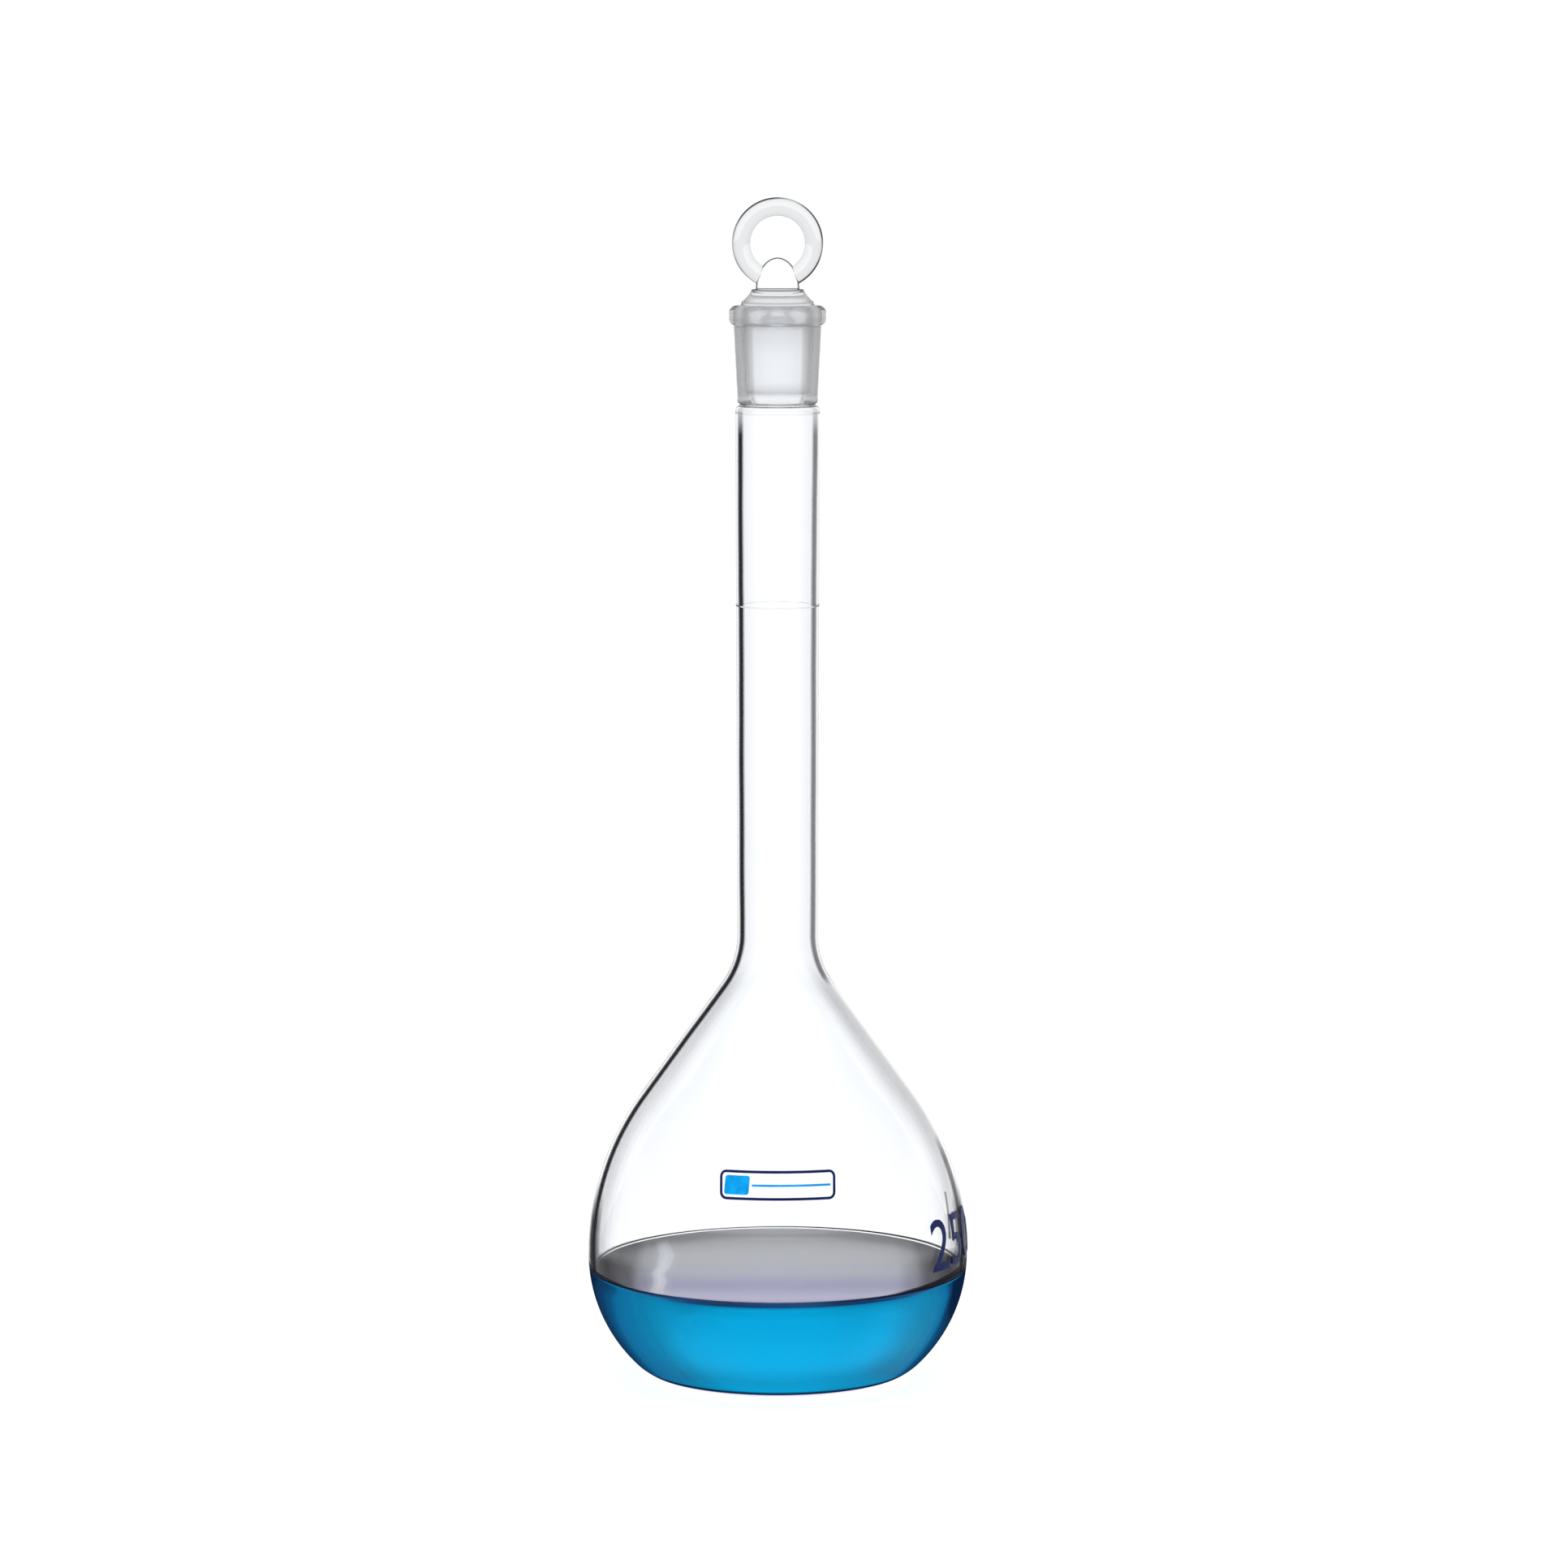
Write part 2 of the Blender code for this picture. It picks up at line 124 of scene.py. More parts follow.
LIQUID_OVERLAP = 0.00015  # how far the liquid reaches into the glass, to leave no air between
LEVEL = LIQUID_HIGH.z  # of the top of the meniscus
MENISCUS = 0.0010  # how far the liquid climbs the wall
CAPILLARY_LENGTH = 0.0027  # over which the climb dies away
STILL_RADIUS = 0.003  # of the innermost ring of the surface
OUTLINE_DEPTH = 5.0  # how many wall thicknesses in from the edge the outline's painted shade ends
SHORE_HEIGHT = 0.0075  # over which the painted dark shore above the liquid dies away
FOOT_SHADE_HEIGHT = 0.003  # of the foot's clear edge, painted pale, and the painted dark line above it
GLASS_RIPPLE = 60  # how fine the unevenness of the blown glass is
STREAK_OFFSET = -0.19  # of the painted bright line on the surface, as a share of its width
STREAK_FINENESS = 25.0  # the higher, the narrower the painted line

# Indices of refraction. Those of thick or wetted glass are low, because its many surfaces would
# otherwise break up what is seen through it more than real glass does.
GLASS_IOR = 1.474
SOCKET_IOR = 1.25
STOPPER_IOR = 1.15
RING_IOR = 1.08
WETTED_IOR = 1.1
ENAMEL_IOR = 1.1
LIQUID_IOR = 1.333

CAMERA_PLACE = (0, -1.133, 0.260)
CAMERA_AIM = Vector((0.0013, 0, 0.1225))
CAMERA_LENS = 128.4  # in millimetres
FLOOR_RADIUS = 8
FLOOR_DROP = 0.0002  # keeps the floor clear of the foot
MAX_BOUNCES = 32  # enough for light to pass every wall of the glass
GLOSSY_BOUNCES = 16


# Outlines, as (radius, height) points ------------------------------------------------------------
def arc(centre, radius, start, end, steps):
    """Points on a circle from one angle to another, both included. Angle 0 points away from the axis."""
    spread = [start + (end - start) * i / steps for i in range(steps + 1)]
    return [(centre[0] + radius * cos(a), centre[1] + radius * sin(a)) for a in spread]


def line(start, end, steps):
    """Points on a straight line, the first included and the last not."""
    return [tuple(a + (b - a) * i / steps for a, b in zip(start, end)) for i in range(steps)]


def flare_centre():
    """The centre, beside the neck, of the arc from the shoulder into the neck."""
    shoulder_r = BULB_RADIUS - SHOULDER_ARC + SHOULDER_ARC * cos(SHOULDER_SLOPE)
    shoulder_z = EQUATOR_HEIGHT + SHOULDER_ARC * sin(SHOULDER_SLOPE)
    flare_r = NECK_RADIUS + FLARE_ARC * (1 - cos(SHOULDER_SLOPE))
    straight = (shoulder_r - flare_r) / sin(SHOULDER_SLOPE)
    flare_z = shoulder_z + straight * cos(SHOULDER_SLOPE)
    return NECK_RADIUS + FLARE_ARC, flare_z + FLARE_ARC * sin(SHOULDER_SLOPE)


def foot_centre():
    """The centre of the small arc between the belly and the foot."""
    rise = EQUATOR_HEIGHT - FOOT_ARC
    return BULB_RADIUS - BELLY_ARC + sqrt((BELLY_ARC - FOOT_ARC) ** 2 - rise**2), FOOT_ARC


def foot_angle():
    """How far below the horizontal the belly's arc passes into the foot's."""
    foot = foot_centre()
    return atan2(EQUATOR_HEIGHT - foot[1], foot[0] - (BULB_RADIUS - BELLY_ARC))


def belly_outline(inset, start_height):
    """The belly from a height at or below the equator down to the foot, then the hollow to the axis."""
    belly = (BULB_RADIUS - BELLY_ARC, EQUATOR_HEIGHT)
    start = -asin((EQUATOR_HEIGHT - start_height) / (BELLY_ARC - inset))
    side = arc(belly, BELLY_ARC - inset, start, -foot_angle(), 24)
    turn = arc(foot_centre(), FOOT_ARC - inset, -foot_angle(), -pi / 2, 18)
    curve = (PUNT_RADIUS**2 + PUNT_DEPTH**2) / (2 * PUNT_DEPTH)
    centre = (0, inset + PUNT_DEPTH - curve)
    dome = arc(centre, curve, acos(PUNT_RADIUS / curve), pi / 2, 10)
    return side + turn[1:] + dome[:-1] + [(0, inset + PUNT_DEPTH)]


def neck_radius(height):
    """The neck's outer radius, which grows evenly from the flare to the top."""
    low = flare_centre()[1]
    return NECK_RADIUS + (NECK_TOP_RADIUS - NECK_RADIUS) * (height - low) / (NECK_TOP - low)


def flask_side(inset, top):
    """The bulb and the neck from a height in the neck down to the axis, inset from the outer surface."""
    flare = arc(flare_centre(), FLARE_ARC + inset, pi, pi + SHOULDER_SLOPE, 16)
    shoulder_centre = (BULB_RADIUS - SHOULDER_ARC, EQUATOR_HEIGHT)
    shoulder = arc(shoulder_centre, SHOULDER_ARC - inset, SHOULDER_SLOPE, 0, 40)
    below = (neck_radius(top) - inset, top - CORNER)
    neck = [(neck_radius(top) - inset, top)] + line(below, flare[0], 24)
    slope = line(flare[-1], shoulder[0], 10)
    return neck + flare[:-1] + slope + shoulder[:-1] + belly_outline(inset, EQUATOR_HEIGHT)


def socket_bore(height):
    """The radius of the ground joint, which narrows downwards."""
    return GROUND_RADIUS - (RIM - LIP_DEPTH - height) * GROUND_TAPER


def outer_outline():
    """The flask's outside from the mouth's edge over the bead and down to the middle of the foot."""
    bead_bottom = RIM - BEAD_HEIGHT
    top_centre = (BEAD_RADIUS - BEAD_TOP_ROUND, RIM - BEAD_TOP_ROUND)
    low_centre = (BEAD_RADIUS - BEAD_BOTTOM_ROUND, bead_bottom + BEAD_BOTTOM_ROUND)
    top = arc(top_centre, BEAD_TOP_ROUND, pi / 2, 0, 12)
    low = arc(low_centre, BEAD_BOTTOM_ROUND, 0, -pi / 2.4, 8)
    under = arc((SOCKET_RADIUS + BEAD_FILLET, bead_bottom - BEAD_FILLET_DROP), BEAD_FILLET, pi / 2, pi, 6)
    end = (SOCKET_END_RADIUS, SOCKET_LOW.z + SOCKET_END_HEIGHT)
    groove = arc((GROOVE_RADIUS + GROOVE_ROUND, SOCKET_LOW.z), GROOVE_ROUND, pi / 2, 3 * pi / 2, 10)
    neck_end = (neck_radius(NECK_TOP) - NECK_END_ROUND, NECK_TOP - NECK_END_ROUND)
    shoulder = arc(neck_end, NECK_END_ROUND, pi / 2.6, 0, 8)
    side = flask_side(0, NECK_TOP - NECK_END_ROUND)
    return top + low + under + line(under[-1], end, 10)[1:] + [end] + groove + shoulder + side[1:]


def inner_outline():
    """The flask's inside from the mouth's edge down the ground bore and the neck to the floor."""
    ground_end = (socket_bore(GROUND_BOTTOM), GROUND_BOTTOM)
    ground = line((GROUND_RADIUS, RIM - LIP_DEPTH), ground_end, GROUND_ROWS)
    waist = [ground_end, (SOCKET_BORE_END, NECK_TOP + JOINT_ABOVE)]
    return [(LIP_RADIUS, RIM)] + ground + waist + flask_side(WALL, NECK_TOP - JOINT_BELOW)


def bell_outline():
    """The stopper's top from the axis down to the stem's edge."""
    height = BELL_TOP - BELL_BOTTOM
    steps = [pi / 2 * i / 30 for i in range(31)]
    bell = [(BELL_RADIUS * sin(a), BELL_BOTTOM + height * cos(a)) for a in steps]
    bell = [point for point in bell if point[1] > STEM_TOP + BELL_FILLET]
    foot_place = (bell[-1][0] + BELL_FILLET, STEM_TOP + BELL_FILLET)
    foot = arc(foot_place, BELL_FILLET, pi, 3 * pi / 2, 6)
    edge = arc((STEM_RADIUS - STEM_EDGE, STEM_TOP - STEM_EDGE), STEM_EDGE, pi / 2, 0, 6)
    return bell + foot + edge


def plug_outline():
    """The clear head, the ground cone and the clear hollow of the stopper, each as a span."""
    top = socket_bore(RIM - LIP_DEPTH) - GROUND_GAP
    foot = socket_bore(PLUG_BOTTOM) - GROUND_GAP
    edge_height = PLUG_BOTTOM + PLUG_EDGE
    head = line((STEM_RADIUS, STEM_BOTTOM), (HEAD_RADIUS - HEAD_CORNER, HEAD_BOTTOM + HEAD_CORNER), 6)
    head += arc((HEAD_RADIUS - HEAD_EDGE, HEAD_BOTTOM), HEAD_EDGE, pi / 4, -pi / 8, 6)
    cone = line((top, RIM - LIP_DEPTH), (foot + PLUG_EDGE * GROUND_TAPER, edge_height), 20)
    edge = arc((foot - PLUG_EDGE, edge_height), PLUG_EDGE, 0, -pi / 2, 8)
    lip = arc((CAVITY_RADIUS + PLUG_EDGE, edge_height), PLUG_EDGE, -pi / 2, -pi, 8)
    crown = arc((0, CAVITY_TOP - CAVITY_RADIUS), CAVITY_RADIUS, 0, pi / 2, 18)
    return bell_outline() + head, cone, edge + lip + crown[:-1] + [(0, CAVITY_TOP)]


# Making meshes -----------------------------------------------------------------------------------
def lathe(name, spans, around=AROUND, loop=False):
    """A mesh turned about +Z from spans of (outline, material slot), each starting where the last ended."""
    shape = bmesh.new()
    turn = [2 * pi * k / around for k in range(around)]
    rows, slots = [], []
    for outline, slot in spans:
        for r, z in outline:
            if r < ON_AXIS:
                rows.append([shape.verts.new((0, 0, z))])
            else:
                rows.append([shape.verts.new((r * sin(a), -r * cos(a), z)) for a in turn])
            slots.append(slot)
    pairs = list(zip(rows, rows[1:], slots[1:]))
    if loop:
        pairs.append((rows[-1], rows[0], slots[0]))
    for upper, lower, slot in pairs:
        for k in range(around):
            corners = []
            for row, step in ((upper, k), (upper, k + 1), (lower, k + 1), (lower, k)):
                corner = row[step % len(row)]
                if corner not in corners:
                    corners.append(corner)
            if len(corners) > 2:
                face = shape.faces.new(corners)
                face.material_index = slot
                face.smooth = True
    bmesh.ops.recalc_face_normals(shape, faces=shape.faces)
    mesh = bpy.data.meshes.new(name)
    shape.to_mesh(mesh)
    shape.free()
    obj = bpy.data.objects.new(name, mesh)
    bpy.context.scene.collection.objects.link(obj)
    return obj


def split_at(outline, height):
    """An outline that runs downwards, as the part above a height and the part below it."""
    cut = next(i for i, point in enumerate(outline) if i and point[1] < height)
    (r_up, z_up), (r_low, z_low) = outline[cut - 1], outline[cut]
    share = (z_up - height) / (z_up - z_low)
    point = (r_up + (r_low - r_up) * share, height)
    return outline[:cut] + [point], [point] + outline[cut:]


def smooth(value, start, end):
    """Rises from 0 at start to 1 at end."""
    t = min(max((value - start) / (end - start), 0), 1)
    return t * t * (3 - 2 * t)


def outline_strength(x, y, z):
    """How strongly the painted shade of the outline shows, by place: its dark line, soft shade, broad
    shade, shore and dark end.
    """
    radius = max(sqrt(x * x + y * y), ON_AXIS)
    # Painted light from the right: the right side gets a weaker painted dark line, and on the shoulder a
    # stronger painted soft shade.
    right = smooth(x / radius, 0.2, 0.85)
    shoulder = smooth(z, 0.046, 0.055) * (1 - smooth(z, 0.080, 0.084))
    dark = 1 - right * (0.2 + 0.75 * shoulder) * smooth(z, 0.030, 0.045)
    # The painted dark line fades out near the neck's top.
    dark *= 1 - 0.7 * smooth(z, NECK_TOP - 0.0024, NECK_TOP - 0.0008)
    soft = 0.9 - 0.6 * smooth(z, 0.080, 0.088) + 0.15 * right * shoulder
    # The painted broad shade lies low, near the liquid. The painted dark shore is wider on the right, and
    # the painted dark end lies at the front, just above the liquid.
    broad = 1 - smooth(z, 0.033, 0.046)
    shore = 1.0 + 0.7 * smooth(x / radius, -0.3, 0.6)
    top = LEVEL + 0.0060 + 0.0010 * right
    end = smooth(-y / radius, 0.1, 0.3) * (1 - smooth(z, top - 0.0020, top + 0.0010))
    return dark, soft, broad, shore, end


def store(mesh, name, values):
    """Keeps one number for each point, under a name that a material reads."""
    field = mesh.attributes.new(name, "FLOAT", "POINT")
    for item, value in zip(field.data, values):
        item.value = value


def mark_outline(mesh, wall):
    """Stores what the outline's painted shade needs at each point.

    The curve is the radius that the surface turns with round the axis, counted in wall thicknesses.
    """
    curves, strengths = [], []
    for vertex in mesh.vertices:
        x, y, z = vertex.co
        radius = vertex.co.xy.length
        curves.append(radius / max(vertex.normal.xy.length, LEAST_SLOPE) / wall)
        strengths.append(outline_strength(x, y, z))
    store(mesh, "curve_in_walls", curves)
    names = ("painted_line_shade", "painted_soft_shade", "painted_broad_shade", "painted_shore_width", "painted_end_shade")
    for name, values in zip(names, zip(*strengths)):
        store(mesh, name, values)


def mark_tilt(mesh):
    """Stores how upright the wall is at each point, how far it faces down and how far right it is, which
    the liquid's painted light and shade read.
    """
    store(mesh, "upright", [max(vertex.normal.xy.length, LEAST_UPRIGHT) for vertex in mesh.vertices])
    store(mesh, "face_down", [max(-vertex.normal.z, 0) for vertex in mesh.vertices])
    right = [vertex.co.x / max(vertex.co.xy.length, ON_AXIS) for vertex in mesh.vertices]
    store(mesh, "right_side_painted_shading", [smooth(share, 0.3, 0.75) for share in right])


# Materials ---------------------------------------------------------------------------------------
def new_material(name):
    material = bpy.data.materials.new(name)
    material.use_nodes = True
    return material, material.node_tree, material.node_tree.nodes["Principled BSDF"]


def node(tree, kind, **settings):
    made = tree.nodes.new(kind)
    for key, value in settings.items():
        setattr(made, key, value)
    return made


def grey(value):
    return (value, value, value)


def cool(value):
    """A grey with the slightest blue in it."""
    return (value * 0.985, value * 0.99, value)


def levels(*stops):
    """Stops of a ramp that is grey, from (position, value) pairs."""
    return [(position, grey(value)) for position, value in stops]


def ramp(tree, source, stops):
    """A colour ramp over a value; stops are (position, colour), smoothly joined."""
    made = node(tree, "ShaderNodeValToRGB")
    made.color_ramp.interpolation = "EASE"
    elements = made.color_ramp.elements
    while len(elements) < len(stops):
        elements.new(0.5)
    for element, (position, colour) in zip(elements, stops):
        element.position = position
        element.color = (*colour, 1)
    tree.links.new(source, made.inputs["Fac"])
    return made.outputs["Color"]


def facing(tree):
    """0 where a surface is seen square on, and 1 where it is seen edge on."""
    return node(tree, "ShaderNodeLayerWeight").outputs["Facing"]


def calc(tree, operation, *values):
    """A math node over sockets and numbers."""
    made = node(tree, "ShaderNodeMath", operation=operation)
    for socket, value in zip(made.inputs, values):
        if isinstance(value, (int, float)):
            socket.default_value = value
        else:
            tree.links.new(value, socket)
    return made.outputs["Value"]


def attribute(tree, name):
    return node(tree, "ShaderNodeAttribute", attribute_name=name).outputs["Fac"]


def walls_in(tree):
    """How far inside its outline a point of the glass is seen, counted in wall thicknesses."""
    straight = calc(tree, "SUBTRACT", 1.0, facing(tree))
    sine = calc(tree, "SQRT", calc(tree, "SUBTRACT", 1.0, calc(tree, "MULTIPLY", straight, straight)))
    return calc(tree, "MULTIPLY", attribute(tree, "curve_in_walls"), calc(tree, "SUBTRACT", 1.0, sine))


def object_place(tree):
    """Where a point is, in the object's own space."""
    return node(tree, "ShaderNodeTexCoord").outputs["Object"]


def along(tree, vector, axis):
    """One axis of a vector."""
    split = node(tree, "ShaderNodeSeparateXYZ")
    tree.links.new(vector, split.inputs["Vector"])
    return split.outputs[axis]


def noise(tree, scale, detail=1.0):
    """Noise in the object's own space, about 0.5 in the middle."""
    made = node(tree, "ShaderNodeTexNoise")
    made.inputs["Scale"].default_value = scale
    made.inputs["Detail"].default_value = detail
    tree.links.new(object_place(tree), made.inputs["Vector"])
    return made.outputs["Fac"]


def wander(tree, scale, reach, detail=1.0):
    """Noise that goes half its reach to either side of 0."""
    return calc(tree, "MULTIPLY", calc(tree, "SUBTRACT", noise(tree, scale, detail), 0.5), reach)


def product(tree, *values):
    """All the values multiplied together."""
    made = values[0]
    for value in values[1:]:
        made = calc(tree, "MULTIPLY", made, value)
    return made


def highest(tree, *values):
    """The largest of the values at each point."""
    made = values[0]
    for value in values[1:]:
        made = calc(tree, "MAXIMUM", made, value)
    return made


def ripple(tree, shader, scale, strength, distance=0.001):
    """The slight unevenness of a surface that was worked by hand in the flame."""
    bump = node(tree, "ShaderNodeBump")
    bump.inputs["Strength"].default_value = strength
    bump.inputs["Distance"].default_value = distance
    tree.links.new(noise(tree, scale), bump.inputs["Height"])
    tree.links.new(bump.outputs["Normal"], shader.inputs["Normal"])


def height_share(tree, low, high):
    """0 at and below a low height, and 1 at and above a high one."""
    span = node(tree, "ShaderNodeMapRange")
    span.inputs["From Min"].default_value = low
    span.inputs["From Max"].default_value = high
    tree.links.new(along(tree, object_place(tree), "Z"), span.inputs["Value"])
    return span.outputs["Result"]


def radius_share(tree, full):
    """0 on the axis and 1 at a full radius."""
    flat = node(tree, "ShaderNodeVectorMath", operation="MULTIPLY")
    flat.inputs[1].default_value = (1 / full, 1 / full, 0)
    tree.links.new(object_place(tree), flat.inputs[0])
    length = node(tree, "ShaderNodeVectorMath", operation="LENGTH")
    tree.links.new(flat.outputs["Vector"], length.inputs[0])
    return length.outputs["Value"]


def blend_colours(tree, share, low, high):
    """A mix of two colours; each is a socket or a colour."""
    mix = node(tree, "ShaderNodeMix", data_type="RGBA")
    tree.links.new(share, mix.inputs["Factor"])
    sockets = [item for item in mix.inputs if item.type == "RGBA"]
    for socket, colour in zip(sockets, (low, high)):
        if isinstance(colour, bpy.types.NodeSocket):
            tree.links.new(colour, socket)
        else:
            socket.default_value = (*colour, 1)
    return [item for item in mix.outputs if item.type == "RGBA"][0]


def cover(tree, shader, share, colour=(0, 0, 0)):
    """Covers a share of the glass with a matt colour that paints light and shade on it: black for painted
    shade where light comes from the dark.
    """
    matt = node(tree, "ShaderNodeBsdfDiffuse")
    if isinstance(colour, bpy.types.NodeSocket):
        tree.links.new(colour, matt.inputs["Color"])
    else:
        matt.inputs["Color"].default_value = (*colour, 1)
    mix = node(tree, "ShaderNodeMixShader")
    tree.links.new(share, mix.inputs["Fac"])
    tree.links.new(shader.outputs["BSDF"], mix.inputs[1])
    tree.links.new(matt.outputs["BSDF"], mix.inputs[2])
    tree.links.new(mix.outputs["Shader"], tree.nodes["Material Output"].inputs["Surface"])


def glass(name, tint=0.97, roughness=0.0, ior=GLASS_IOR, shine=0.25):
    """A clear, slightly cool glass; its shine tints what it mirrors."""
    material, tree, shader = new_material(name)
    shader.inputs["Base Color"].default_value = (tint * 0.975, tint * 0.985, tint, 1)
    shader.inputs["Transmission Weight"].default_value = 1.0
    shader.inputs["Roughness"].default_value = roughness
    shader.inputs["IOR"].default_value = ior
    shader.inputs["Specular Tint"].default_value = (shine, shine, shine, 1)
    return material, tree, shader


def outer_glass():
    """Clear glass with shade painted along its outline in a near-black matt cover: a thin edge, a light
    gap, a dark line and a soft shade, with a broad shade, a dark shore above the liquid and dark ends.
    """
    material, tree, shader = glass("glass_outside")
    ripple(tree, shader, GLASS_RIPPLE, 0.02)
    depth = calc(tree, "ADD", calc(tree, "DIVIDE", walls_in(tree), OUTLINE_DEPTH), wander(tree, 45, 0.06))
    outline = ramp(tree, depth, levels(
        (0.0, 0.24), (0.03, 0.2), (0.06, 0.06), (0.12, 0.9),
        (0.15, 0.99), (0.22, 0.97), (0.26, 0.5), (0.32, 0.0),
    ))
    soft = ramp(tree, depth, levels(
        (0.0, 0.0), (0.2, 0.35), (0.36, 0.37), (0.5, 0.28), (0.64, 0.15), (0.8, 0.06), (1.0, 0.0),
    ))
    broad = ramp(tree, depth, levels(
        (0.0, 0.3), (0.04, 0.6), (0.08, 0.95), (0.22, 0.93),
        (0.32, 0.68), (0.4, 0.3), (0.5, 0.12), (0.65, 0.0),
    ))
    rise = calc(tree, "MULTIPLY", height_share(tree, LEVEL, LEVEL + SHORE_HEIGHT), 3.4)
    above = calc(tree, "SUBTRACT", product(tree, facing(tree), attribute(tree, "painted_shore_width")), rise)
    end = ramp(tree, facing(tree), levels((0.22, 0.0), (0.32, 0.2), (0.42, 0.5), (0.6, 0.78)))
    # Painted shade: the glass is covered in near-black as far as the strongest of these reaches.
    share = highest(
        tree,
        product(tree, outline, attribute(tree, "painted_line_shade")),
        product(tree, soft, attribute(tree, "painted_soft_shade")),
        product(tree, broad, attribute(tree, "painted_broad_shade")),
        ramp(tree, above, levels((0.05, 0.0), (0.25, 0.95))),
        product(tree, end, attribute(tree, "painted_end_shade")),
    )
    cover(tree, shader, share, (0.006, 0.006, 0.011))
    return material


def socket_glass():
    """The thicker wall of the socket: a broad band of painted grey shade inside each edge."""
    material, tree, shader = glass("glass_socket", ior=SOCKET_IOR)
    band = levels((0.15, 0.0), (0.22, 0.22), (0.5, 0.33), (0.72, 0.3), (0.82, 0.14), (1.0, 0.0))
    cover(tree, shader, ramp(tree, facing(tree), band))
    return material


def wetted_glass():
    """The wall below the level, which hardly reflects; a matt cover paints the liquid's deep blue at its
    edge, partly the liquid's own colour and partly painted shade.
    """
    material, tree, shader = glass("glass_wetted", 0.98, ior=WETTED_IOR, shine=0.1)
    share = levels((0.15, 0.0), (0.32, 0.55), (0.44, 0.82), (0.56, 0.95), (0.7, 1.0))
    tones = [
        (0.0, (0.003, 0.42, 0.75)),
        (0.2, (0.003, 0.36, 0.68)),
        (0.3, (0.003, 0.27, 0.49)),
        (0.36, (0.003, 0.22, 0.43)),
        (0.48, (0.004, 0.17, 0.36)),
        (0.57, (0.004, 0.145, 0.32)),
        (0.67, (0.004, 0.075, 0.19)),
        (0.76, (0.005, 0.045, 0.125)),
        (0.84, (0.006, 0.036, 0.09)),
        (0.92, (0.003, 0.02, 0.06)),
        (1.0, (0.003, 0.015, 0.05)),
    ]
    turn = turned_away(tree)
    # Painted shade towards the edges, just below the level.
    near = product(
        tree,
        ramp(tree, height_share(tree, LEVEL - 0.009, LEVEL), levels((0.0, 0.0), (0.6, 0.04), (1.0, 0.16))),
        ramp(tree, facing(tree), levels((0.35, 0.0), (0.6, 1.0))),
    )
    # Painted shade at the right side's rim, a little below the level.
    rim = product(
        tree,
        ramp(tree, height_share(tree, LEVEL - 0.012, LEVEL - 0.002), levels((0.0, 0.0), (1.0, 1.0))),
        attribute(tree, "right_side_painted_shading"),
        ramp(tree, turn, levels((0.6, 0.0), (0.76, 0.4))),
    )
    # At the foot, a painted dark line, with a pale edge below it that is painted like light through clear
    # glass.
    height = height_share(tree, 0, FOOT_SHADE_HEIGHT)
    foot = ramp(tree, height, levels((0.38, 0.0), (0.52, 0.6), (0.66, 0.6), (0.85, 0.0)))
    turn = calc(tree, "ADD", calc(tree, "ADD", turn, rim), calc(tree, "ADD", near, foot))
    clear = ramp(tree, height, levels((0.42, 1.0), (0.54, 0.0)))
    tone = blend_colours(tree, clear, ramp(tree, turn, tones), (0.92, 0.88, 1.0))
    # The part that faces down is covered wholly in the painted tone.
    down = ramp(tree, attribute(tree, "face_down"), levels((0.5, 0.0), (0.8, 1.0)))
    cover(tree, shader, highest(tree, down, ramp(tree, turn, share)), tone)
    return material


def inner_glass(name="glass_inside", ior=GLASS_IOR):
    material, tree, shader = glass(name, 0.985, ior=ior)
    ripple(tree, shader, GLASS_RIPPLE, 0.02)
    return material


def bell_share(tree):
    """0 below the stopper's bell and 1 on it."""
    return height_share(tree, STEM_BOTTOM - BELL_FILLET, STEM_TOP + BELL_FILLET)


def stopper_clear():
    """Solid clear glass: pale, with shade painted in a black matt cover: a thin dark outline on the bell, a
    dark line at its foot and a grey shade over the head.
    """
    material, tree, shader = glass("stopper_clear_glass", 0.97, ior=STOPPER_IOR)
    outline = levels((0.0, 0.0), (0.5, 0.02), (0.62, 0.3), (0.72, 0.85), (0.9, 0.9), (1.0, 0.7))
    dark = product(
        tree,
        ramp(tree, facing(tree), outline),
        ramp(tree, bell_share(tree), levels((0.4, 0.1), (0.6, 1.0))),
    )
    base = ramp(tree, bell_share(tree), levels((0.0, 0.0), (0.3, 0.55), (0.7, 0.55), (1.0, 0.0)))
    height = height_share(tree, HEAD_BOTTOM - 0.001, STEM_BOTTOM)
    head = ramp(tree, height, levels((0.0, 0.0), (0.1, 0.22), (0.6, 0.13), (0.95, 0.08), (1.0, 0.0)))
    cover(tree, shader, highest(tree, dark, base, head))
    return material


def ring_glass():
    """The bent rod, with shade painted in a black matt cover: a pale grey body, and a fine dark line on the
    ring's outer edge only.
    """
    material, tree, shader = glass("ring_clear_glass", 0.95, ior=RING_IOR)
    ripple(tree, shader, 150, 0.01)
    body = levels((0.0, 0.07), (0.3, 0.10), (0.6, 0.15), (0.85, 0.12), (1.0, 0.08))
    edge = levels((0.3, 0.0), (0.48, 0.7), (0.7, 0.97), (1.0, 0.9))
    dark = product(
        tree,
        ramp(tree, facing(tree), edge),
        attribute(tree, "ring_outward"),
        ramp(tree, noise(tree, 90), levels((0.35, 0.35), (0.6, 1.0))),
    )
    cover(tree, shader, highest(tree, ramp(tree, facing(tree), body), dark))
    return material


